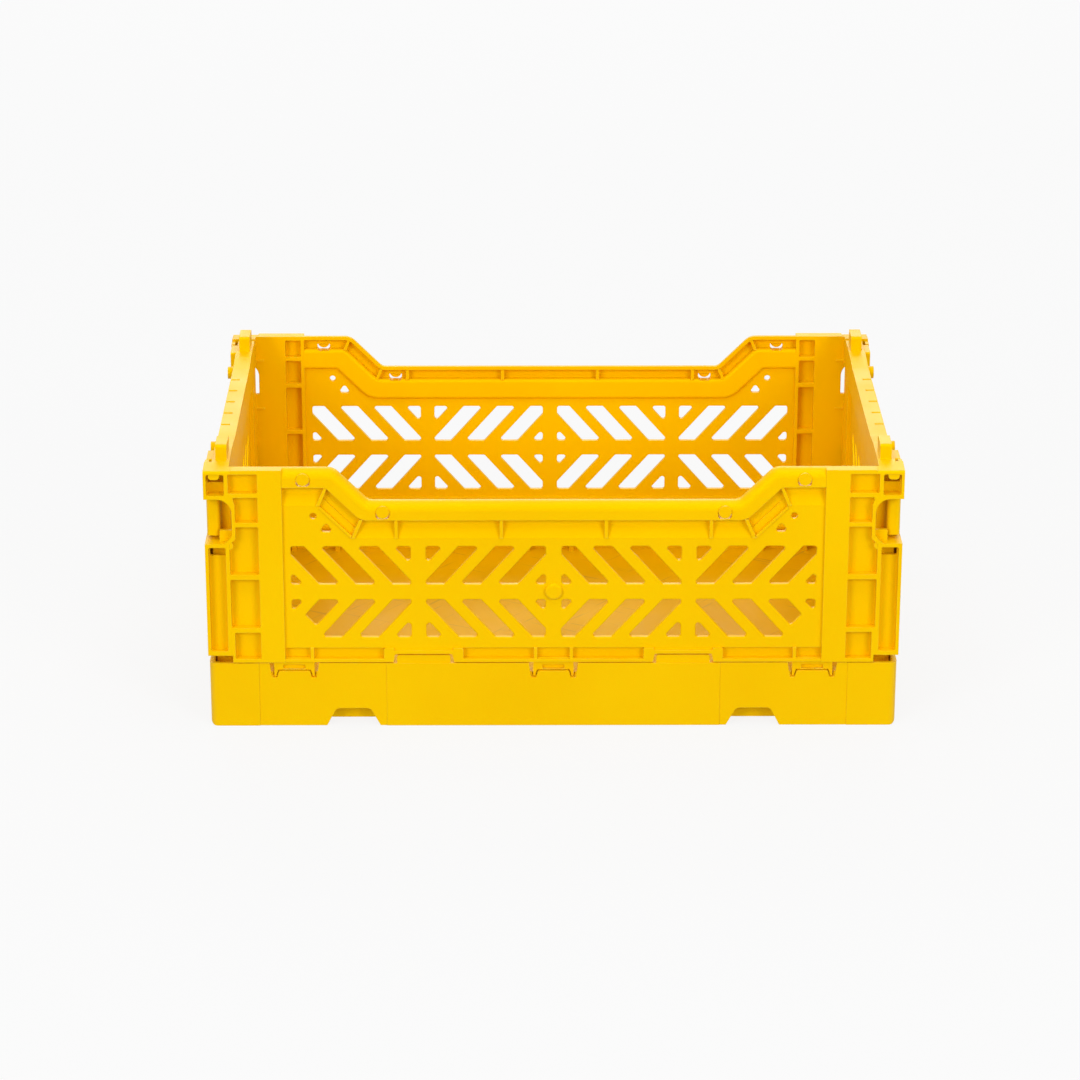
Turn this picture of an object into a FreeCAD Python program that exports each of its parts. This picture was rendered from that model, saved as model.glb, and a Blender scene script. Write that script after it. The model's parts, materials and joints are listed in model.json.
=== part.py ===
import FreeCAD, Part

import math
import os
import re
import types

# A small folding, stacking crate: a base tray, two long side walls, two end
# walls that fold inwards, and the four sprung latch bars of the end walls.
# Millimetres. +X is the crate's length, +Y its depth, +Z up; the origin is at
# the middle of the face that the crate stands on. Every moulding is the same on
# both sides of its middle, so half of it is modelled and the other half mirrored.

SIZES = {
    # The whole crate
    "length": 266.0,
    "wall_top": 105.1,
    "wall_foot": 26.5,
    "dip": 13.2,
    "slope_top": 83.7,
    # Long walls: planes at these distances from the crate's middle plane
    "outer_face": 85.5,
    "band_face": 85.3,
    "rib_face": 85.0,
    "panel_face": 84.4,
    "band_back": 83.9,
    "panel_back": 82.4,
    "pocket_floor": 82.2,
    "inner_face": 80.8,
    "box_back": 76.3,
    "return_edge": 71.7,
    # Long walls: the S-shaped rim, measured down from the rim line
    "lip": 1.5,
    "web_top": 5.8,
    "band_foot": 7.1,
    "ramp_top": 9.5,
    "slope_step": 11.4,
    "slope_foot": 14.2,
    "bulge_foot": 14.5,
    "rim_round": 3.6,
    "rib": 1.3,
    "boss_radius": 2.45,
    "boss_drop": 3.6,
    "boss_face": 86.0,
    "stud_radius": 3.5,
    "stud_face": 85.9,
    # Long walls: the columns at both ends
    "rim_end": 104.6,
    "column": 103.3,
    "band_edge": 112.5,
    "corner_rib": 123.6,
    "return_skin": 1.5,
    "plate_drop": 0.4,
    "plate_round": 0.9,
    "window_low": 75.3,
    "window_high": 93.4,
    "flange_foot": 29.4,
    # Long walls: the foot, its channel and the frames round the tabs of the tray
    "foot_lip_top": 27.8,
    "channel_top": 32.2,
    "frame_half": 15.3,
    "frame_inner": 11.4,
    "frame_top": 31.4,
    "notch_top": 29.9,
    # Slot pattern, shared by the long walls and the end walls
    "pattern_middle": 55.2,
    "slot_low": 3.1,
    "slot_high": 18.7,
    "slot_width": 8.3,
    "slot_lean": 13.8,
    "slot_pitch": 14.1,
    "slot_shift": 1.35,
    "node_bar": 2.9,
    "group_half": 48.7,
    "group_centre": 51.75,
    "short_slot": 5.6,
    "slot_round": 1.03,
    "slot_chamfer": 0.3,
    # Base tray
    "base_top": 26.1,
    "base_half_length": 132.7,
    "base_half_depth": 85.3,
    "base_inside": 83.5,
    "base_skin": 1.8,
    "base_round": 3.0,
    "foot_round": 2.0,
    "floor_top": 9.2,
    "floor_under": 7.6,
    "skirt_half_length": 124.2,
    "skirt_half_depth": 76.8,
    "skirt_skin": 1.6,
    "rib_foot": 5.2,
    "channel_rib_foot": 1.2,
    "foot_notch": 7.2,
    # Hinges of the long walls
    "tongue_half": 7.8,
    "tongue_foot": 18.6,
    "riser_top": 22.7,
    "side_pin_radius": 1.6,
    "side_pin_height": 19.6,
    "side_pin_plane": 82.1,
    # End walls
    "end_inner": 123.6,
    "end_floor": 125.0,
    "end_outer": 130.3,
    "end_pilaster": 132.6,
    "end_top": 105.0,
    "end_dip": 103.7,
    "end_foot": 17.6,
    "end_panel_inner": 125.2,
    "end_panel_outer": 127.2,
    "end_half": 75.9,
    "end_strip": 80.0,
    "lug_top": 111.0,
    # Hinges of the end walls
    "end_pin_plane": 127.0,
    "end_pin_height": 14.0,
    "end_pin_radius": 2.0,
    "barrel_radius": 2.6,
    "knuckle_half": 7.0,
    "ear_start": 7.4,
    "ear_end": 9.8,
    "ear_round": 3.2,
    "pin_end": 10.2,
    "pin_clearance": 0.06,
    # Latch bars
    "latch_inner": 127.4,
    "latch_outer": 132.4,
    "latch_face": 80.4,
    "latch_back": 77.6,
    "latch_leaf": 76.5,
    "latch_foot": 77.0,
    "latch_head": 92.6,
}

# Where features repeat along a moulding. The opposite half mirrors them.
HINGE_PLACES = (-50.0, 0.0)
TONGUE_PLACES = (-100.0, 0.0)
TAB_PLACE = -50.0
RIM_RIB_PLACES = (-60.0, -20.0)
FOOT_RIB_PLACES = (-92.9, -6.9)
END_CELL_ROWS = ((33.0, 50.8), (52.4, 72.5), (74.0, 91.2))
BAND_CELL_ROWS = ((28.0, 40.4), (42.0, 62.0), (63.6, 82.6), (84.3, 94.4), (96.0, 103.4))

doc = FreeCAD.newDocument("crate")
sheet = doc.addObject("Spreadsheet::Sheet", "dim")
for row, (alias, value) in enumerate(SIZES.items(), start=1):
    sheet.set(f"A{row}", alias)
    sheet.set(f"B{row}", str(value))
    sheet.setAlias(f"B{row}", alias)
doc.recompute()
dim = types.SimpleNamespace(**{alias: float(sheet.get(alias)) for alias in SIZES})


# ---------------------------------------------------------------- outlines

def rectangle(left, right, low, high, radius=0.0):
    """Corners of a rectangle, each as (across, up, corner radius)."""
    return [(left, low, radius), (right, low, radius), (right, high, radius), (left, high, radius)]


def half_rectangle(left, low, high, radius=0.0):
    """The left half of a rectangle that is centred on the moulding's middle."""
    return [(left, low, radius), (0.0, low, 0.0), (0.0, high, 0.0), (left, high, radius)]


def round_hole(across, up, radius):
    """A circle, kept as a single entry of the outline."""
    return [(across, up, radius)]


def outline_edges(corners):
    """Lines and tangent arcs of a closed outline; one entry alone is a circle."""
    if len(corners) == 1:
        across, up, radius = corners[0]
        return [Part.Circle(FreeCAD.Vector(across, up, 0), FreeCAD.Vector(0, 0, 1), radius)]
    points = [FreeCAD.Vector(across, up, 0) for across, up, _ in corners]
    count = len(points)
    joints = []
    arcs = []
    for index, corner in enumerate(points):
        back = points[index - 1] - corner
        ahead = points[(index + 1) % count] - corner
        half_angle = back.getAngle(ahead) / 2
        reach = min(corners[index][2] / math.tan(half_angle), 0.48 * back.Length, 0.48 * ahead.Length)
        if reach < 0.02:
            joints.append((corner, corner))
            arcs.append(None)
            continue
        back.normalize()
        ahead.normalize()
        start = corner + back * reach
        end = corner + ahead * reach
        toward = (back + ahead).normalize()
        radius = reach * math.tan(half_angle)
        middle = corner + toward * (radius / math.sin(half_angle) - radius)
        joints.append((start, end))
        arcs.append(Part.Arc(start, middle, end))
    edges = []
    for index in range(count):
        if arcs[index]:
            edges.append(arcs[index])
        start = joints[index][1]
        end = joints[(index + 1) % count][0]
        if (end - start).Length > 1e-4:
            edges.append(Part.LineSegment(start, end))
    return edges


def grown(corners, amount):
    """The outline moved outwards by `amount` all round."""
    if len(corners) == 1:
        across, up, radius = corners[0]
        return [(across, up, radius + amount)]
    count = len(corners)
    area = sum(corners[i - 1][0] * corners[i][1] - corners[i][0] * corners[i - 1][1] for i in range(count))
    turn = math.copysign(1.0, area)
    moved = []
    for index, (across, up, radius) in enumerate(corners):
        normals = []
        corner = corners[index]
        for start, end in ((corners[index - 1], corner), (corner, corners[(index + 1) % count])):
            run = end[0] - start[0]
            rise = end[1] - start[1]
            length = math.hypot(run, rise)
            normals.append((turn * rise / length, -turn * run / length))
        (ax, ay), (bx, by) = normals
        scale = amount / (1 + ax * bx + ay * by)
        moved.append((across + (ax + bx) * scale, up + (ay + by) * scale, radius + amount))
    return moved


def clipped(corners, left, right, low, high):
    """A convex outline cut to a rectangle, as plain (across, up) points."""
    points = list(corners)
    for axis, limit, keep_above in ((0, left, True), (0, right, False), (1, low, True), (1, high, False)):
        kept = []
        for index, point in enumerate(points):
            last = points[index - 1]
            inside = (point[axis] >= limit) == keep_above or point[axis] == limit
            was_inside = (last[axis] >= limit) == keep_above or last[axis] == limit
            if inside != was_inside:
                share = (limit - last[axis]) / (point[axis] - last[axis])
                kept.append(tuple(a + share * (b - a) for a, b in zip(last, point)))
            if inside:
                kept.append(point)
        points = kept
    return points


def chevron_slots(centre, side, short_outer=False):
    """Slots on one side of a cross-shaped node: slanted stripes, above and below, cut to a box."""
    outlines = []
    slope = (dim.slot_high - dim.slot_low) / dim.slot_lean
    for row in (-1, 1):
        for index in range(-1, 4):
            start = dim.node_bar - dim.slot_shift + index * dim.slot_pitch
            stripe = [
                (start, dim.slot_low),
                (start + dim.slot_width, dim.slot_low),
                (start + dim.slot_width + dim.slot_lean, dim.slot_high),
                (start + dim.slot_lean, dim.slot_high),
            ]
            if short_outer and row < 0 and index == 2:
                # This slot ends early and square, beside the column
                outer = dim.short_slot
                inner = outer + dim.slot_width / 2
                stripe[2] = (start + dim.slot_width + outer, dim.slot_low + outer * slope)
                stripe[3] = (start + inner, dim.slot_low + inner * slope)
            points = clipped(stripe, dim.node_bar, dim.group_half, dim.slot_low, dim.slot_high)
            if len(points) < 3:
                continue
            outlines.append([
                (centre + side * across, dim.pattern_middle + row * up, dim.slot_round)
                for across, up in points
            ])
    return outlines


# ------------------------------------------------------- document features

def bind(feature, setting, text):
    """Tie a setting of a feature to an expression in the sheet's names."""
    named = re.sub(r"[a-z][a-z_]*", lambda word: "dim." + word.group(), text)
    feature.setExpression(setting, named)


def number(text):
    """The value of an expression in the sheet's names: names and numbers joined by + and -."""
    total = 0.0
    for sign, word in re.findall(r"([+-]?)\s*([a-z_]+|[0-9.]+)", text):
        value = getattr(dim, word) if word in SIZES else float(word)
        total += -value if sign == "-" else value
    return total


def new_body(label):
    body = doc.addObject("PartDesign::Body", label)
    body.Label = label
    return body


def origin_plane(body, role):
    return [item for item in body.Origin.OriginFeatures if item.Role == role][0]


def new_sketch(body, name, role, outlines, plane, rise="0"):
    """Outlines on a plane parallel to an origin plane, raised by `rise` within it."""
    sketch = body.newObject("Sketcher::SketchObject", name + "_outline")
    sketch.AttachmentSupport = [(origin_plane(body, role), "")]
    sketch.MapMode = "FlatFace"
    bind(sketch, "AttachmentOffset.Base.y", rise)
    bind(sketch, "AttachmentOffset.Base.z", plane)
    for corners in outlines:
        sketch.addGeometry(outline_edges(corners), False)
    return sketch


def pad(body, name, role, outlines, near, far):
    """Material between two planes parallel to an origin plane of the body."""
    feature = body.newObject("PartDesign::Pad", name)
    feature.Refine = False
    feature.Profile = new_sketch(body, name, role, outlines, near)
    bind(feature, "Length", f"({far}) - ({near})")
    doc.recompute()


def pocket(body, name, role, outlines, near, far, taper=0.0):
    """Material taken away from the plane `near` to the plane `far`; a taper narrows the cut."""
    before = body.Shape.Volume
    feature = body.newObject("PartDesign::Pocket", name)
    feature.Refine = False
    feature.Profile = new_sketch(body, name, role, outlines, near)
    outwards = number(far) > number(near)
    feature.Reversed = outwards
    feature.TaperAngle = -taper
    bind(feature, "Length", f"({far}) - ({near})" if outwards else f"({near}) - ({far})")
    doc.recompute()
    if not body.Shape.Volume < before - 0.05:
        raise ValueError(f"{body.Label}: {name} cuts nothing")


def turned(body, name, role, outlines, plane, rise, cut=False):
    """Outlines turned about the sketch's own horizontal axis, added or cut."""
    before = body.Shape.Volume
    feature = body.newObject("PartDesign::Groove" if cut else "PartDesign::Revolution", name)
    feature.Refine = False
    feature.Profile = new_sketch(body, name, role, outlines, plane, rise)
    feature.ReferenceAxis = (feature.Profile[0], ["H_Axis"])
    feature.Angle = 360.0
    doc.recompute()
    if cut and not body.Shape.Volume < before - 0.05:
        raise ValueError(f"{body.Label}: {name} cuts nothing")


def fillet(body, name, radius, wanted):
    """Round the edges of the body's shape that the test `wanted` picks."""
    base = body.Tip
    base.Refine = True
    doc.recompute()
    names = [f"Edge{index}" for index, edge in enumerate(base.Shape.Edges, start=1) if wanted(edge)]
    feature = body.newObject("PartDesign::Fillet", name)
    feature.Refine = False
    feature.Base = (base, names)
    bind(feature, "Radius", radius)
    doc.recompute()


def mirrored(body, role):
    """Add the mirror image of the whole body about one of its origin planes."""
    half = body.Shape.Volume
    feature = body.newObject("PartDesign::Mirrored", "opposite_half")
    feature.MirrorPlane = (origin_plane(body, role), [""])
    feature.TransformMode = "Whole shape"
    feature.Refine = False
    body.Tip = feature
    doc.recompute()
    if abs(body.Shape.Volume - 2 * half) > 0.01 * half:
        raise ValueError(f"{body.Label}: the mirror image is not whole")


def finished(body):
    """Merge the faces that lie in one plane, and give the body back."""
    body.Tip.Refine = True
    doc.recompute()
    return body


def mirror_image(label, source, normal):
    """A second piece from the same mould shape, as its mirror image about a plane through the origin."""
    image = doc.addObject("Part::Mirroring", label)
    image.Label = label
    image.Source = source
    image.Base = FreeCAD.Vector(0, 0, 0)
    image.Normal = FreeCAD.Vector(*normal)
    doc.recompute()
    return image


# --------------------------------------------------------------- long wall

MITRE = math.tan(math.pi / 8)


def rim_line(drop):
    """The left half of the rim line lowered by `drop`: high end, 45 degree slope, low middle."""
    high = dim.wall_top - drop
    low = high - dim.dip
    corner = dim.slope_top + MITRE * drop
    return [
        (-dim.rim_end, high, 0.0),
        (-corner, high, max(6.0 - 0.6 * drop, 0.8)),
        (dim.dip - corner, low, 4.0 + 0.4 * drop),
        (0.0, low, 0.0),
    ]


def rim_band(upper, lower):
    """The strip between two lowered rim lines."""
    return rim_line(upper) + rim_line(lower)[::-1]


def below_rim(drop):
    """The panel below a lowered rim line, down to the foot channel."""
    return rim_line(drop) + [(0.0, dim.channel_top, 0.0), (-dim.rim_end, dim.channel_top, 0.0)]


def on_rim(edge, plane, drop):
    """True for an edge in the plane y = -`plane` that lies on the rim line lowered by `drop`."""
    box = edge.BoundBox
    if abs(box.YMin + plane) > 0.01 or abs(box.YMax + plane) > 0.01:
        return False
    middle = edge.valueAt((edge.FirstParameter + edge.LastParameter) / 2)
    fallen = dim.slope_top + MITRE * drop - abs(middle.x)
    line = dim.wall_top - drop - min(max(fallen, 0.0), dim.dip)
    return edge.Length > 0.5 and box.ZLength < dim.dip + 1.0 and abs(middle.z - line) < 1.4


def slope_cell(upper, lower, radius):
    """The strip between two lowered rim lines, on the slope only and clear of its ribs."""
    margin = dim.rib / 2
    corners = []
    for drop, order in ((upper, 1), (lower, -1)):
        corner = dim.slope_top + MITRE * drop
        high = dim.wall_top - drop
        top = (-corner + margin, high - margin, radius)
        foot = (dim.dip - corner - margin, high - dim.dip + margin, radius)
        corners += [top, foot][::order]
    return corners


def upright_rib(across, low, high):
    return rectangle(across - dim.rib / 2, across + dim.rib / 2, low, high)


def mitre_rib(corner, level, upper, lower):
    """A rib along the line that halves a bend of the rim, between two drops."""
    half = dim.rib / 2
    top = -(corner + MITRE * upper)
    foot = -(corner + MITRE * lower)
    return [
        (top - half, level - upper, 0.0),
        (top + half, level - upper, 0.0),
        (foot + half, level - lower, 0.0),
        (foot - half, level - lower, 0.0),
    ]


def rim_ribs(upper, lower):
    """All the ribs across one channel of the rim."""
    low_level = dim.wall_top - dim.dip
    ribs = [
        mitre_rib(dim.slope_top, dim.wall_top, upper, lower),
        mitre_rib(dim.slope_top - dim.dip, low_level, upper, lower),
    ]
    for across in RIM_RIB_PLACES:
        ribs.append(upright_rib(across, low_level - lower, low_level - upper))
    return ribs


def column_pockets():
    """The pockets that open outwards beside the flat band of a column."""
    right = -dim.band_edge
    wide = -dim.corner_rib
    narrow = -121.2
    return [
        rectangle(wide, right, 95.8, 103.5, 0.5),
        [(narrow, 83.9, 0.4), (right, 83.9, 0.4), (right, 94.1, 0.4), (narrow - 1.0, 94.1, 0.4),
         (narrow, 91.0, 1.5)],
        [(wide, 62.7, 0.5), (right, 62.7, 0.5), (right, 82.2, 0.5), (narrow, 82.2, 0.5),
         (narrow, 77.4, 1.0), (wide, 75.0, 1.0)],
        rectangle(wide, right, 40.8, 60.7, 0.5),
        rectangle(-122.4, right, 28.0, 38.9, 0.5),
        rectangle(-131.7, -125.1, 31.1, 73.8, 0.8),
    ]


def tab_frame():
    """The raised frame at the foot of the wall that stands over a tab of the tray."""
    half = dim.frame_half
    inner = dim.frame_inner
    top = dim.channel_top + 0.1
    corners = [
        (-half, dim.wall_foot, 0.0), (half, dim.wall_foot, 0.0), (half, top, 0.8), (inner, top, 0.0),
        (inner, dim.frame_top, 0.0), (-inner, dim.frame_top, 0.0), (-inner, top, 0.0), (-half, top, 0.8),
    ]
    return [(TAB_PLACE + across, up, radius) for across, up, radius in corners]


def tongue_face():
    """The front of a hinge tongue: a plate on two short legs that straddle the tray's riser."""
    half = dim.tongue_half
    foot = dim.riser_top - 2.4
    plate = dim.riser_top + 0.3
    left = [(-half, foot, 0.4), (-half + 0.8, foot, 0.3), (-half + 1.5, plate, 0.5)]
    right = [(-across, up, radius) for across, up, radius in reversed(left)]
    return left + right + [(half, 28.0, 0.0), (-half, 28.0, 0.0)]


def side_wall(label):
    """A long wall as it stands at the front of the crate."""
    body = new_body(label)
    plane = "XZ_Plane"
    end = dim.length / 2

    # Rim: a bulging band with a channel behind it, then a second bulge that faces inwards
    pad(body, "rim_band", plane, [rim_band(0.0, dim.band_foot)], "inner_face", "band_face")
    fillet(body, "rim_rounding", "rim_round", lambda e: on_rim(e, dim.band_face, 0.0))
    pocket(body, "rim_channel", plane, [rim_band(dim.lip, dim.web_top)], "inner_face", "band_back")
    fillet(body, "channel_rounding", "rim_round - lip", lambda e: on_rim(e, dim.band_back, dim.lip))
    pad(body, "rim_bulge", plane, [rim_band(dim.web_top, dim.bulge_foot)], "inner_face", "panel_back")
    fillet(body, "bulge_rounding", "lip", lambda e: on_rim(e, dim.inner_face, dim.web_top))
    fillet(body, "bulge_foot_rounding", "lip - 0.1", lambda e: on_rim(e, dim.inner_face, dim.bulge_foot))

    # Panel below the rim; its top is a ramp that runs into the outer channel
    panel = body.newObject("PartDesign::AdditiveLoft", "panel")
    panel.Profile = new_sketch(body, "ramp_foot", plane, [below_rim(dim.ramp_top)], "panel_back")
    panel.Sections = [new_sketch(body, "ramp_head", plane, [below_rim(dim.bulge_foot)], "panel_face")]
    panel.Ruled = True
    panel.Refine = False
    doc.recompute()

    # The outer channel is stepped on the slope, and a lip stands along its lower side
    upper_cell = slope_cell(dim.band_foot, dim.slope_step, 0.0)
    lower_cell = slope_cell(dim.slope_step, dim.slope_foot, 0.0)
    pocket(body, "slope_floor", plane, [upper_cell], "panel_face", "82.5")
    pocket(body, "slope_shelf", plane, [lower_cell], "panel_face", "83.1")
    lip = slope_cell(dim.slope_foot, dim.slope_foot + 0.9, 0.0)
    pad(body, "slope_lip", plane, [lip], "83.0", "84.8")
    pad(body, "outer_ribs", plane, rim_ribs(dim.band_foot - 0.2, dim.bulge_foot), "panel_back", "rib_face")
    pad(body, "inner_ribs", plane, rim_ribs(dim.lip - 0.2, dim.web_top + 0.2), "81.0", "84.0")

    # Columns: solid blocks, pocketed from both sides
    block = rectangle(-end, -dim.column, dim.wall_foot, dim.wall_top)
    pad(body, "column", plane, [block], "inner_face", "outer_face")
    box = rectangle(-end, 0.2 - dim.corner_rib, dim.window_high, dim.wall_top + 0.7)
    pad(body, "corner_box", plane, [box], "box_back", "inner_face")
    front_level = dim.wall_top - dim.plate_drop
    plate = [
        (-dim.outer_face - 1.0, front_level - 0.1, 0.0), (-dim.box_back + 1.0, dim.wall_top + 0.5, 0.0),
        (-dim.box_back + 1.0, dim.wall_top + 3.0, 0.0), (-dim.outer_face - 1.0, dim.wall_top + 3.0, 0.0),
    ]
    pocket(body, "corner_plate", "YZ_Plane", [plate], "-length / 2 - 1", "-122.5")
    fillet(body, "plate_rounding", "plate_round", is_plate_edge)
    pocket(body, "column_pockets", plane, column_pockets(), "outer_face", "pocket_floor")
    cells = [rectangle(-111.2, -104.7, low, high, 0.5) for low, high in BAND_CELL_ROWS]
    pocket(body, "band_pockets", plane, cells, "inner_face", "84.1")

    # Corners: a deep hollow box above the window, and a flange round the corner
    pocket(body, "corner_pocket", plane, [rectangle(-131.9, -125.1, 94.9, 103.3, 0.7)], "outer_face", "80.6")
    pocket(body, "corner_depth", plane, [rectangle(-131.9, -125.1, 98.8, 103.3, 0.7)], "81.2", "77.8")
    stub = [(-131.0, 101.2, 2.0), (-126.8, 101.2, 2.0), (-126.8, 104.0, 0.0), (-131.0, 104.0, 0.0)]
    pad(body, "corner_stub", plane, [stub], "77.0", "85.2")
    pocket(body, "hook_opening", plane, [rectangle(-131.4, -125.1, 69.6, 73.8, 0.6)], "86.0", "79.0")
    inside = dim.return_skin - end
    flanges = [
        rectangle(-end, inside, dim.flange_foot, dim.window_low),
        rectangle(-end, inside, dim.window_high, dim.wall_top - dim.plate_drop),
    ]
    pad(body, "corner_flanges", plane, flanges, "return_edge", "82.0")
    window = [
        (-end - 7.0, dim.window_low, 0.0), (-125.1, dim.window_low, 0.8), (-122.5, 78.4, 1.0),
        (-122.5, dim.window_high, 5.6), (-end - 7.0, dim.window_high, 0.0),
    ]
    corner_foot = rectangle(-end - 7.0, 0.2 - dim.corner_rib, 20.0, dim.flange_foot)
    pocket(body, "window", plane, [window, corner_foot], "86.5", "70.0")
    pad(body, "window_floor", plane, [rectangle(-131.8, -123.8, 73.9, dim.window_low)], "76.7", "82.4")
    pad(body, "window_gusset", plane, [rectangle(-127.5, -122.2, 75.0, 79.8, 0.3)], "inner_face", "82.3")
    pad(body, "rib_joints", plane, [round_hole(-123.4, 93.5, 1.7), round_hole(-123.9, 74.6, 1.7)],
        "pocket_floor", "85.4")
    ledges = [rectangle(-124.0, -120.2, level - 0.4, level + 0.4, 0.2) for level in (73.4, 94.6)]
    pad(body, "guide_ledges", plane, ledges, "80.4", "81.2")

    # Foot of the wall: lip, channel, ribs and the frame over the tray's tab
    foot = half_rectangle(-dim.rim_end, dim.wall_foot, dim.foot_lip_top)
    pad(body, "foot_lip", plane, [foot], "inner_face", "85.2")
    skin = half_rectangle(-dim.rim_end, dim.foot_lip_top - 0.2, dim.channel_top + 1.0)
    pad(body, "foot_skin", plane, [skin], "inner_face", "82.6")
    pad(body, "tab_frame", plane, [tab_frame()], "82.0", "85.2")
    above_tab = rectangle(TAB_PLACE - 12.0, TAB_PLACE + 12.0, dim.frame_top - 0.2, dim.channel_top + 0.2)
    pad(body, "frame_filler", plane, [above_tab], "82.0", "panel_face")
    ribs = [upright_rib(across, dim.foot_lip_top - 0.2, dim.channel_top + 0.2) for across in FOOT_RIB_PLACES]
    pad(body, "foot_ribs", plane, ribs, "82.0", "84.9")
    notch = [
        (TAB_PLACE - 11.8, 26.0, 0.0), (TAB_PLACE + 11.8, 26.0, 0.0),
        (TAB_PLACE + 11.0, dim.notch_top, 0.6), (TAB_PLACE - 11.0, dim.notch_top, 0.6),
    ]
    pocket(body, "tab_notch", plane, [notch], "86.0", "80.0")

    # Hinge tongues, with a small hollow in the face, and the pin at the foot of each
    half = dim.tongue_half
    first, centre = TONGUE_PLACES
    leaves = [rectangle(first - half, first + half, dim.tongue_foot, 28.0, 1.0),
              half_rectangle(-half, dim.tongue_foot, 28.0, 1.0)]
    pad(body, "tongue_leaves", plane, leaves, "pocket_floor", "83.2")
    face = tongue_face()
    faces = [[(first + across, up, radius) for across, up, radius in face],
             [corner for corner in face if corner[0] < 0][:3] + [
                 (0.0, dim.riser_top + 0.3, 0.0), (0.0, 28.0, 0.0), (-half, 28.0, 0.0)]]
    pad(body, "tongue_faces", plane, faces, "83.1", "84.1")
    hollows = [rectangle(first - 4.25, first + 4.25, 23.3, 25.1, 0.4), half_rectangle(-4.25, 23.3, 25.1, 0.4)]
    pocket(body, "tongue_hollows", plane, hollows, "85.0", "83.0")
    reach = half + 2.2
    pins = [rectangle(first - reach, first + reach, 0.0, dim.side_pin_radius),
            half_rectangle(-reach, 0.0, dim.side_pin_radius)]
    turned(body, "side_pins", plane, pins, "side_pin_plane", "side_pin_height")

    # Slots with a chamfered edge outside, small holes, and the hooded bosses of the rim
    holes = chevron_slots(-dim.group_centre, -1, short_outer=True) + chevron_slots(-dim.group_centre, 1)
    holes.append(round_hole(-91.6, 86.2, 1.25))
    holes.append([(-89.3, 79.7, 0.9), (-84.1, 79.7, 0.9), (-86.7, 83.7, 0.9)])
    pocket(body, "slots", plane, holes, "panel_face", "80.0")
    edges = [grown(corners, dim.slot_chamfer) for corners in holes]
    pocket(body, "slot_chamfers", plane, edges, "panel_face", "panel_face - slot_chamfer", taper=45.0)
    bosses = []
    openings = []
    for across, level in ((-95.2, dim.wall_top), (-65.1, dim.wall_top - dim.dip)):
        up = level - dim.boss_drop
        bosses.append(round_hole(across, up, dim.boss_radius))
        openings.append([(across - 2.6, up - 0.5, 0.0), (across - 2.6, up - 2.85, 2.3),
                         (across + 2.6, up - 2.85, 2.3), (across + 2.6, up - 0.5, 0.0)])
    pocket(body, "boss_openings", plane, openings, "86.5", "80.0")
    pad(body, "bosses", plane, bosses, "rib_face", "boss_face")
    mirrored(body, "YZ_Plane")

    stud = [(-dim.band_back, 0.0, 0.0), (-dim.stud_face, 0.0, 0.0), (-dim.stud_face, dim.stud_radius - 0.2, 1.8),
            (-dim.band_back, dim.stud_radius, 0.0)]
    turned(body, "centre_stud", "YZ_Plane", [stud], "0", "pattern_middle + 0.5")
    return finished(body)


def is_plate_edge(edge):
    """True for the front edge of the lowered plate on top of a corner."""
    box = edge.BoundBox
    level = dim.wall_top - dim.plate_drop
    flat = box.ZLength < 0.01 and abs(box.ZMin - level) < 0.1 and box.XLength > 5.0
    return flat and abs(box.YMin + dim.outer_face) < 0.01 and abs(box.YMax + dim.outer_face) < 0.01


# --------------------------------------------------------------- base tray

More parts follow.
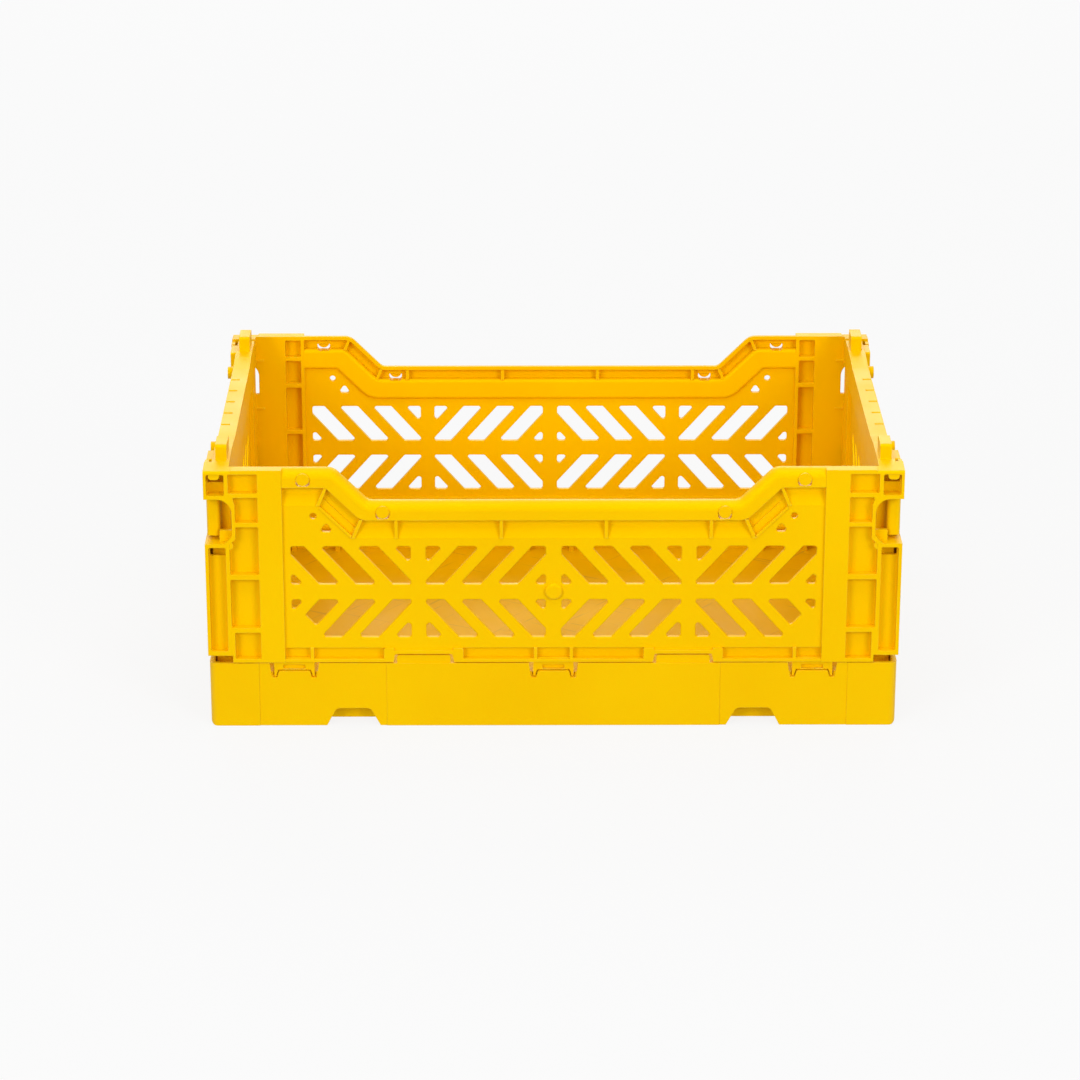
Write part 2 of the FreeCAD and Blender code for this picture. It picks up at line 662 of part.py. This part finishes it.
def base_tray():
    """The tray; its left front quarter is modelled and mirrored twice."""
    body = new_body("base_tray")
    flat = "XY_Plane"
    front = "XZ_Plane"
    length = dim.base_half_length
    depth = dim.base_half_depth
    skin = dim.base_skin

    def quarter(left, low, radius):
        """A rectangle centred on the origin, as its left front quarter."""
        return [(-left, 0.0, 0.0), (-left, -low, radius), (0.0, -low, 0.0), (0.0, 0.0, 0.0)]

    def between(outer, inner):
        """The left front quarter of the frame between two centred rectangles."""
        return quarter(*outer)[:3] + [(across, up, radius) for across, up, radius in quarter(*inner)[2::-1]]

    pad(body, "shell", flat, [quarter(length, depth, dim.base_round)], "0", "base_top")
    cavity = (length - skin, dim.base_inside, 1.6)
    pocket(body, "cavity", flat, [quarter(*cavity)], "base_top", "floor_top")
    reach = 2.2 * dim.foot_round
    end_foot = [
        (-length - 1.0, -1.0, 0.0), (-length + reach, -1.0, 0.0), (-length + reach, 0.0, 0.0),
        (-length, 0.0, dim.foot_round), (-length, reach, 0.0), (-length - 1.0, reach, 0.0),
    ]
    pocket(body, "end_foot", front, [end_foot], "86.0", "-1.0")

    # Underneath: an outer channel that the lugs of a crate below fit into, and an inner skirt
    skirt = (dim.skirt_half_length, dim.skirt_half_depth, 3.0)
    inset = dim.skirt_skin
    pocket(body, "lug_channel", flat, [between(cavity, skirt)], "0", "floor_under")
    under = quarter(dim.skirt_half_length - inset, dim.skirt_half_depth - inset, 1.6)
    pocket(body, "underside", flat, [under], "0", "floor_under")
    half_rib = 0.7
    across_ribs = [rectangle(place - half_rib, place + half_rib, -76.0, 0.0) for place in (-88.0, -44.0)]
    across_ribs.append(rectangle(-half_rib, 0.0, -76.0, 0.0))
    pad(body, "across_ribs", flat, across_ribs, "rib_foot", "floor_under + 0.2")
    along_ribs = [rectangle(-123.4, 0.0, -38.0 - half_rib, -38.0 + half_rib),
                  rectangle(-123.4, 0.0, -half_rib, 0.0)]
    pad(body, "along_ribs", flat, along_ribs, "rib_foot", "floor_under + 0.2")
    channel_ribs = [rectangle(place - half_rib, place + half_rib, -84.0, -76.4) for place in (-89.6, -64.9)]
    pad(body, "channel_ribs", flat, channel_ribs, "channel_rib_foot", "floor_under + 0.2")

    # Long sides: foot notches, recesses, the tab, and the slots for the walls' tongues
    foot_notch = [(-88.2, -1.0, 0.0), (-66.4, -1.0, 0.0), (-70.9, dim.foot_notch, 2.4),
                  (-84.0, dim.foot_notch, 2.4)]
    pocket(body, "foot_notch", front, [foot_notch], "86.0", "83.2")
    pocket(body, "side_inset", front, [rectangle(-113.6, -64.4, -1.0, 27.0)], "86.0", "85.05")
    left = [(-9.6, 26.6, 0.0), (-8.6, 20.0, 0.5), (-6.7, 20.0, 0.3), (-6.0, dim.riser_top, 0.9)]
    right = [(-across, up, radius) for across, up, radius in reversed(left)]
    first = TONGUE_PLACES[0]
    slots = [[(first + across, up, radius) for across, up, radius in left + right],
             left + [(0.0, dim.riser_top, 0.0), (0.0, 26.6, 0.0)]]
    pocket(body, "tongue_slots", front, slots, "86.0", "83.0")
    tab = rectangle(TAB_PLACE - 10.3, TAB_PLACE + 10.3, 25.0, 29.3, 0.9)
    pad(body, "tab", front, [tab], "83.6", "84.8")
    near = dim.tongue_half + 0.5
    far = near + 2.0
    cheeks = [rectangle(low, high, dim.floor_top - 0.4, 22.2)
              for low, high in ((first - far, first - near), (first + near, first + far), (-far, -near))]
    pad(body, "pin_cheeks", front, cheeks, "79.6", "84.0")
    bores = [rectangle(first - 11.0, first + 11.0, 0.0, dim.side_pin_radius + dim.pin_clearance),
             half_rectangle(-11.0, 0.0, dim.side_pin_radius + dim.pin_clearance)]
    turned(body, "side_pin_bores", front, bores, "side_pin_plane", "side_pin_height", cut=True)

    # Ends: the ears that hold the end walls' hinge pins
    middle = -dim.end_pin_plane
    top = dim.end_pin_height + dim.ear_round
    low = dim.floor_top - 0.4
    ear = [
        (middle + dim.ear_round, low, 0.0), (0.8 - length, low, 0.0),
        (0.8 - length, top, 0.0), (middle + dim.ear_round, top, dim.ear_round - 0.05),
    ]
    for name, near, far in (
        ("centre_ear", "ear_start", "ear_end"),
        ("inner_ear", "50 - ear_end", "50 - ear_start"),
        ("outer_ear", "50 + ear_start", "50 + ear_end"),
    ):
        pad(body, name, front, [ear], near, far)
    bore = rectangle(-60.5, 0.0, 0.0, dim.end_pin_radius + dim.pin_clearance)
    turned(body, "end_pin_bore", "YZ_Plane", [bore], "-end_pin_plane", "end_pin_height", cut=True)
    mirrored(body, "XZ_Plane")
    mirrored(body, "YZ_Plane")
    return finished(body)


# --------------------------------------------------------------- end walls

def end_wall(label):
    """An end wall as it stands at the right end of the crate; its front half is mirrored."""
    body = new_body(label)
    plane = "YZ_Plane"
    half = dim.end_half
    rib = dim.rib / 2

    frame = half_rectangle(-half, dim.end_foot, dim.end_top)
    pad(body, "frame", plane, [frame], "end_inner", "end_outer")
    strip = rectangle(-dim.end_strip, -half + 0.5, 56.0, 73.3, 0.6)
    pad(body, "side_strip", plane, [strip], "end_floor", "end_outer")
    opening = half_rectangle(-58.6, 31.2, 91.0, 1.5)
    pocket(body, "outer_recess", plane, [opening], "end_outer", "end_panel_outer")
    pocket(body, "inner_recess", plane, [opening], "end_inner", "end_panel_inner")

    # Rim channel, column pockets and foot channel, all open outwards
    rim_pitch = 13.9
    foot_pitch = 14.6
    cells = []
    for index in range(-4, 0):
        left = index * rim_pitch + rib
        cells.append(rectangle(left, left + rim_pitch - dim.rib, 92.5, 102.3, 0.5))
        left = index * foot_pitch + rib
        cells.append(rectangle(left, left + foot_pitch - dim.rib, 19.2, 29.8, 0.5))
    for low, high in ((19.2, 31.4), *END_CELL_ROWS, (92.5, 103.2)):
        cells.append(rectangle(-74.4, -59.8, low, high, 0.6))
    pocket(body, "outer_cells", plane, cells, "end_outer", "end_floor")
    pocket(body, "slots", plane, chevron_slots(0.0, -1), "end_outer", "end_inner")
    dip = [(-54.0, dim.end_top, 0.0), (-42.0, dim.end_dip, 0.0), (0.0, dim.end_dip, 0.0),
           (0.0, dim.end_top + 1.0, 0.0), (-54.0, dim.end_top + 1.0, 0.0)]
    pocket(body, "rim_dip", plane, [dip], "131.0", "123.0")
    marks = [rectangle(place * rim_pitch - 0.8, place * rim_pitch + 0.8, dim.end_dip - 0.5, 106.0)
             for place in (-2, -1)]
    marks.append(half_rectangle(-0.8, dim.end_dip - 0.5, 106.0))
    pocket(body, "rim_marks", plane, marks, "131.0", "126.6")

    # Flat pilaster beside the corner flange, nub and stacking lug
    pilaster = rectangle(-71.2, -60.4, 27.2, 104.6, 0.8)
    pad(body, "pilaster", plane, [pilaster], "129.0", "end_pilaster")
    hollows = [rectangle(-69.8, -61.8, low, high, 0.6) for low, high in (*END_CELL_ROWS, (92.5, 102.8))]
    pocket(body, "pilaster_pockets", plane, hollows, "end_pilaster", "130.0")
    pad(body, "nub", plane, [round_hole(-46.5, 100.6, 2.5)], "end_floor", "132.7")
    lug = [(-72.9, 103.0, 0.0), (-61.4, 103.0, 0.0), (-61.4, dim.lug_top, 1.2), (-72.9, dim.lug_top, 1.2)]
    pad(body, "lug", plane, [lug], "124.6", "129.0")

    # Room for the latch bar
    cavity = rectangle(-82.0, -74.7, 75.2, 94.0)
    pocket(body, "latch_cavity", plane, [cavity], "132.9", "126.8")

    # Hinge knuckles and their stepped pins
    first = HINGE_PLACES[0]
    reach = dim.knuckle_half
    foot = dim.end_pin_height
    knuckles = [rectangle(first - reach, first + reach, foot, 18.4), half_rectangle(-reach, foot, 18.4)]
    pad(body, "knuckles", plane, knuckles, "124.6", "129.4")
    stepped = [(-dim.pin_end, 0.0), (-dim.pin_end, dim.end_pin_radius), (-reach, dim.end_pin_radius),
               (-reach, dim.barrel_radius)]
    half_pin = [(across, up, 0.0) for across, up in stepped]
    other_half = [(-across, up, radius) for across, up, radius in reversed(half_pin)]
    whole = [(first + across, up, radius) for across, up, radius in half_pin + other_half]
    pins = [whole, half_pin + [(0.0, dim.barrel_radius, 0.0), (0.0, 0.0, 0.0)]]
    turned(body, "pins", plane, pins, "end_pin_plane", "end_pin_height")
    mirrored(body, "XZ_Plane")
    return finished(body)


# -------------------------------------------------------------- latch bars

def latch_bar(label):
    """A half-round bar on a flat leaf; it stands in the corner window and is pressed to free the end wall."""
    body = new_body(label)
    middle = (dim.latch_inner + dim.latch_outer) / 2
    bar = [
        (dim.latch_inner, dim.latch_back, 0.0), (dim.latch_outer, dim.latch_back, 0.0),
        (dim.latch_outer, dim.latch_face, 2.3), (dim.latch_inner, dim.latch_face, 2.3),
    ]
    pad(body, "bar", "XY_Plane", [bar], "latch_foot", "latch_head")
    leaf = rectangle(middle - 1.6, middle + 1.6, dim.latch_leaf, dim.latch_back + 0.3, 0.4)
    pad(body, "leaf", "XY_Plane", [leaf], "latch_foot - 0.6", "latch_head + 0.4")
    return finished(body)


front_wall = side_wall("front_side_wall")
right_wall = end_wall("right_end_wall")
back_latch = latch_bar("right_back_latch_bar")
front_latch = mirror_image("right_front_latch_bar", back_latch, (0, 1, 0))
bodies = [
    base_tray(),
    front_wall,
    mirror_image("back_side_wall", front_wall, (0, 1, 0)),
    right_wall,
    mirror_image("left_end_wall", right_wall, (1, 0, 0)),
    back_latch,
    front_latch,
    mirror_image("left_back_latch_bar", back_latch, (1, 0, 0)),
    mirror_image("left_front_latch_bar", front_latch, (1, 0, 0)),
]
doc.recompute()

for item in doc.Objects:
    if "Invalid" in item.State or "Error" in item.State:
        raise RuntimeError(f"{item.Label} failed: {item.State}")
for body in bodies:
    if body.Shape.isNull() or not body.Shape.isValid():
        raise RuntimeError(f"{body.Label} has no valid shape")

os.makedirs("parts", exist_ok=True)
for body in bodies:
    body.Shape.exportStep(f"parts/{body.Label}.step")
    print(f"{body.Label}: {len(body.Shape.Solids)} solid, {body.Shape.Volume / 1000:.1f} cm3")
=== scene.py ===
import json
import math

import bpy
from mathutils import Matrix, Vector

# Looks of the small folding crate: one yellow polypropylene on all nine pieces,
# on a plain pale floor under soft studio light. Metres, +Z up.

MM = 0.001

# Camera: the aim point, its distance, and how far it is turned, raised and rolled
AIM = Vector((-4.7, -1.8, 45.2)) * MM
DISTANCE = 1530.7 * MM
PITCH = math.radians(20.78)
YAW = math.radians(-0.38)
ROLL = math.radians(0.07)
LENS = 126.1
SENSOR = 36.0

# The radius that a mould leaves on its sharp edges, and the width of the paler band on them, partly
# scuffing and partly a painted edge highlight
EDGE_RADIUS = 0.25 * MM
PALE_EDGE_WIDTH = 0.7 * MM

YELLOW = (0.93, 0.56, 0.0, 1.0)
DEEP_YELLOW = (0.90, 0.52, 0.0, 1.0)
PALE_YELLOW = (1.0, 0.70, 0.05, 1.0)
DULL_YELLOW = (0.74, 0.41, 0.0, 1.0)
SCRATCH = (0.30, 0.22, 0.05, 1.0)
SHEEN_TINT = (1.0, 0.70, 0.0, 1.0)
WHITE = (1.0, 1.0, 1.0, 1.0)
DARK_GREY = (0.08, 0.08, 0.08, 1.0)

# Noise scales in cycles per metre
FLOW_SCALE = 14.0
DULL_PATCH_SCALE = 24.0
WAVE_SCALE = 55.0
POLISH_SCALE = 60.0
PALE_EDGE_PATCH_SCALE = 180.0
GRAIN_SCALE = 2600.0

# The darkened, scratched floor of the tray lies between these heights, with a soft limit at each
FLOOR_FADE_LOW = (8.8 * MM, 9.1 * MM)
FLOOR_FADE_HIGH = (10.5 * MM, 9.6 * MM)
SCRATCH_SIZE = (30.0 * MM, 1.6 * MM, 30.0 * MM)
SCRATCH_TURNS = (0.9, -0.5)
SCRATCH_STRENGTH = 0.3

# Relief of the surface: fine mould grain, and long shallow waves
GRAIN_STRENGTH = 0.10
GRAIN_DEPTH = 0.05 * MM
WAVE_STRENGTH = 0.22
WAVE_DEPTH = 0.30 * MM

# Roughness of the plastic between these two, and how much smoother a scuffed edge is
SMOOTHEST = 0.36
ROUGHEST = 0.47
SCUFF_POLISH = 0.08

# Studio: every lamp faces one point in the crate
LAMP_AIM = (0.0, 0.0, 0.05)
SURROUND_STRENGTH = 0.46
FLOOR_GLOW = 0.865
FLOOR_HALF_WIDTH = 6.0

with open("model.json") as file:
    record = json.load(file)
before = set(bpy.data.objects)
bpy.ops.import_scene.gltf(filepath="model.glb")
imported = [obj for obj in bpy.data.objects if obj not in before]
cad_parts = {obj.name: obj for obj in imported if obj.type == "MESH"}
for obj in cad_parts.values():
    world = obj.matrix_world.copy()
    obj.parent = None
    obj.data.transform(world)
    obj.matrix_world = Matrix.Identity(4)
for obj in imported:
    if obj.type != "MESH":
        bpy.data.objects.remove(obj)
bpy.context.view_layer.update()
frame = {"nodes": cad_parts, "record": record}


# ------------------------------------------------------------ node helpers

def add_node(tree, kind, **settings):
    node = tree.nodes.new(kind)
    for name, value in settings.items():
        setattr(node, name, value)
    return node


def noise(tree, place, scale, detail=3.0, roughness=0.5):
    """A noise pattern fixed to the object; scale is in cycles per metre."""
    node = add_node(tree, "ShaderNodeTexNoise")
    node.inputs["Scale"].default_value = scale
    node.inputs["Detail"].default_value = detail
    node.inputs["Roughness"].default_value = roughness
    tree.links.new(place, node.inputs["Vector"])
    return node.outputs["Fac"]


def remap(tree, value, low, high, out_low, out_high):
    node = add_node(tree, "ShaderNodeMapRange")
    limits = {"From Min": low, "From Max": high, "To Min": out_low, "To Max": out_high}
    for name, number in limits.items():
        node.inputs[name].default_value = number
    tree.links.new(value, node.inputs["Value"])
    return node.outputs["Result"]


def mix_colours(tree, factor, first, second):
    """Mix two colours; each is a plain colour or the output of another node."""
    node = add_node(tree, "ShaderNodeMix", data_type="RGBA")
    tree.links.new(factor, node.inputs["Factor"])
    for socket, colour in ((node.inputs[6], first), (node.inputs[7], second)):
        if isinstance(colour, tuple):
            socket.default_value = colour
        else:
            tree.links.new(colour, socket)
    return node.outputs[2]


def combine(tree, operation, first, second):
    """Two values through a math node; each is a number or the output of another node."""
    node = add_node(tree, "ShaderNodeMath", operation=operation)
    for socket, value in zip(node.inputs, (first, second)):
        if isinstance(value, float):
            socket.default_value = value
        else:
            tree.links.new(value, socket)
    return node.outputs["Value"]


# --------------------------------------------------------------- materials

def floor_mask(tree, place):
    """1 on the upward face of the tray's floor, 0 elsewhere."""
    height = add_node(tree, "ShaderNodeSeparateXYZ")
    tree.links.new(place, height.inputs["Vector"])
    below = remap(tree, height.outputs["Z"], *FLOOR_FADE_HIGH, 0.0, 1.0)
    above = remap(tree, height.outputs["Z"], *FLOOR_FADE_LOW, 0.0, 1.0)
    upward = add_node(tree, "ShaderNodeSeparateXYZ")
    tree.links.new(add_node(tree, "ShaderNodeNewGeometry").outputs["Normal"], upward.inputs["Vector"])
    level = remap(tree, upward.outputs["Z"], 0.6, 0.9, 0.0, 1.0)
    return combine(tree, "MULTIPLY", combine(tree, "MULTIPLY", below, above), level)


def scratches(tree, place, turn):
    """Thin streaks of even width, broken up along their length."""
    streak = add_node(tree, "ShaderNodeMapping", vector_type="TEXTURE")
    streak.inputs["Rotation"].default_value = (0.0, 0.0, turn)
    streak.inputs["Scale"].default_value = SCRATCH_SIZE
    tree.links.new(place, streak.inputs["Vector"])
    return remap(tree, noise(tree, streak.outputs["Vector"], 1.0, 2.0), 0.66, 0.71, 0.0, 1.0)


def darkened_scratched_floor(tree, place, colour):
    """The floor's upward face is painted darker and duller in patches, and scratched by the goods that
    slide over it.
    """
    mask = floor_mask(tree, place)
    # Darker, duller patches painted on the floor's upward face
    patches = remap(tree, noise(tree, place, DULL_PATCH_SCALE, 4.0), 0.3, 0.7, 0.45, 1.0)
    colour = mix_colours(tree, combine(tree, "MULTIPLY", mask, patches), colour, DULL_YELLOW)
    marks = combine(tree, "MAXIMUM", *[scratches(tree, place, turn) for turn in SCRATCH_TURNS])
    marks = combine(tree, "MULTIPLY", combine(tree, "MULTIPLY", marks, mask), SCRATCH_STRENGTH)
    return mix_colours(tree, marks, colour, SCRATCH)


def yellow_plastic(name, seed, darkened_scratched=False):
    """Satin polypropylene: mould grain, soft flow marks, and smoother scuffed edges painted paler,
    partly as scuffing and partly as a painted highlight along them.

    The seed moves the patterns, so that the three finishes aren't alike.
    """
    material = bpy.data.materials.new(name)
    material.use_nodes = True
    tree = material.node_tree
    shader = tree.nodes["Principled BSDF"]
    unmoved = add_node(tree, "ShaderNodeTexCoord").outputs["Object"]
    shift = add_node(tree, "ShaderNodeVectorMath", operation="ADD")
    shift.inputs[1].default_value = (seed, -seed, 0.5 * seed)
    tree.links.new(unmoved, shift.inputs[0])
    place = shift.outputs["Vector"]

    flow = remap(tree, noise(tree, place, FLOW_SCALE, 3.0), 0.35, 0.68, 0.0, 1.0)
    colour = mix_colours(tree, flow, YELLOW, DEEP_YELLOW)
    # Convex edges are painted paler: partly scuffing, partly a painted highlight where the rounded
    # edges catch the light
    edge = add_node(tree, "ShaderNodeAmbientOcclusion", samples=6, inside=True, only_local=True)
    edge.inputs["Distance"].default_value = PALE_EDGE_WIDTH
    edge_wear_and_highlight = remap(tree, edge.outputs["AO"], 0.62, 0.28, 0.0, 1.0)
    patches = remap(tree, noise(tree, place, PALE_EDGE_PATCH_SCALE, 4.0), 0.42, 0.60, 0.25, 1.0)
    edge_wear_and_highlight = combine(tree, "MULTIPLY", edge_wear_and_highlight, patches)
    colour = mix_colours(tree, edge_wear_and_highlight, colour, PALE_YELLOW)
    if darkened_scratched:
        colour = darkened_scratched_floor(tree, unmoved, colour)
    tree.links.new(colour, shader.inputs["Base Color"])

    polish = remap(tree, noise(tree, place, POLISH_SCALE, 5.0, 0.6), 0.3, 0.7, SMOOTHEST, ROUGHEST)
    polish = combine(tree, "SUBTRACT", polish, combine(tree, "MULTIPLY", edge_wear_and_highlight, SCUFF_POLISH))
    tree.links.new(polish, shader.inputs["Roughness"])

    rounded = add_node(tree, "ShaderNodeBevel", samples=4)
    rounded.inputs["Radius"].default_value = EDGE_RADIUS
    grain = add_node(tree, "ShaderNodeBump")
    grain.inputs["Strength"].default_value = GRAIN_STRENGTH
    grain.inputs["Distance"].default_value = GRAIN_DEPTH
    tree.links.new(noise(tree, place, GRAIN_SCALE, 2.0), grain.inputs["Height"])
    waves = add_node(tree, "ShaderNodeBump")
    waves.inputs["Strength"].default_value = WAVE_STRENGTH
    waves.inputs["Distance"].default_value = WAVE_DEPTH
    tree.links.new(noise(tree, place, WAVE_SCALE, 2.0), waves.inputs["Height"])
    tree.links.new(rounded.outputs["Normal"], waves.inputs["Normal"])
    tree.links.new(waves.outputs["Normal"], grain.inputs["Normal"])
    tree.links.new(grain.outputs["Normal"], shader.inputs["Normal"])

    shader.inputs["IOR"].default_value = 1.49
    shader.inputs["Specular IOR Level"].default_value = 0.42
    shader.inputs["Specular Tint"].default_value = SHEEN_TINT
    shader.inputs["Subsurface Weight"].default_value = 0.12
    shader.inputs["Subsurface Radius"].default_value = (1.0, 0.55, 0.05)
    shader.inputs["Subsurface Scale"].default_value = 0.9 * MM
    return material


plastics = {
    "base_plastic": yellow_plastic("base_plastic_look", 0.4, darkened_scratched=True),
    "wall_plastic": yellow_plastic("wall_plastic_look", 1.7),
    "latch_plastic": yellow_plastic("latch_plastic_look", 2.9),
}

slots = {part["node"]: part["material_slot"] for part in frame["record"]["subparts"]}
for name, piece in frame["nodes"].items():
    for slot in piece.material_slots:
        slot.link = "OBJECT"
        slot.material = plastics[slots[name]]


# ----------------------------------------------------- floor, light, camera

def pale_floor():
    """A plain floor, large enough to fill the view."""
    half = FLOOR_HALF_WIDTH
    corners = [(-half, -half, 0), (half, -half, 0), (half, half, 0), (-half, half, 0)]
    mesh = bpy.data.meshes.new("floor")
    mesh.from_pydata(corners, [], [(0, 1, 2, 3)])
    floor = bpy.data.objects.new("floor", mesh)
    bpy.context.scene.collection.objects.link(floor)
    material = bpy.data.materials.new("pale_floor")
    material.use_nodes = True
    shader = material.node_tree.nodes["Principled BSDF"]
    shader.inputs["Base Color"].default_value = DARK_GREY
    shader.inputs["Roughness"].default_value = 0.9
    shader.inputs["Specular IOR Level"].default_value = 0.0
    shader.inputs["Emission Color"].default_value = WHITE
    shader.inputs["Emission Strength"].default_value = FLOOR_GLOW
    mesh.materials.append(material)
    # The floor looks white but doesn't light the crate from below
    floor.visible_diffuse = False


def area_light(name, place, width, height, power):
    """A panel lamp; place and size in metres, power in watts."""
    lamp = bpy.data.lights.new(name, "AREA")
    lamp.shape = "RECTANGLE"
    lamp.size = width
    lamp.size_y = height
    lamp.energy = power
    light = bpy.data.objects.new(name, lamp)
    light.location = place
    light.rotation_mode = "QUATERNION"
    light.rotation_quaternion = (Vector(place) - Vector(LAMP_AIM)).to_track_quat("Z", "Y")
    bpy.context.scene.collection.objects.link(light)


def studio():
    """Two softboxes in front, left and right, panels overhead and behind, and a pale surround."""
    world = bpy.data.worlds.new("studio")
    bpy.context.scene.world = world
    world.use_nodes = True
    background = world.node_tree.nodes["Background"]
    background.inputs["Color"].default_value = WHITE
    background.inputs["Strength"].default_value = SURROUND_STRENGTH
    area_light("left_softbox", (-1.05, -1.55, 0.78), 0.7, 0.7, 12.8)
    area_light("right_softbox", (1.05, -1.55, 0.78), 0.7, 0.7, 12.8)
    area_light("overhead", (0.0, -0.35, 1.5), 1.6, 1.2, 10.0)
    area_light("back_panel", (0.0, 1.7, 0.95), 1.6, 0.9, 13.0)


def camera():
    """The camera as turned about the vertical, then raised, then rolled."""
    back = Vector((math.sin(YAW) * math.cos(PITCH), -math.cos(YAW) * math.cos(PITCH), math.sin(PITCH)))
    right = Vector((math.cos(YAW), math.sin(YAW), 0))
    up = back.cross(right)
    across = math.cos(ROLL) * right + math.sin(ROLL) * up
    upward = -math.sin(ROLL) * right + math.cos(ROLL) * up
    lens = bpy.data.cameras.new("camera")
    lens.lens = LENS
    lens.sensor_width = SENSOR
    seen = bpy.data.objects.new("camera", lens)
    turn = Matrix((across, upward, back)).transposed().to_4x4()
    seen.matrix_world = Matrix.Translation(AIM + back * DISTANCE) @ turn
    bpy.context.scene.collection.objects.link(seen)
    bpy.context.scene.camera = seen


pale_floor()
studio()
camera()
bpy.context.scene.view_settings.view_transform = "Standard"
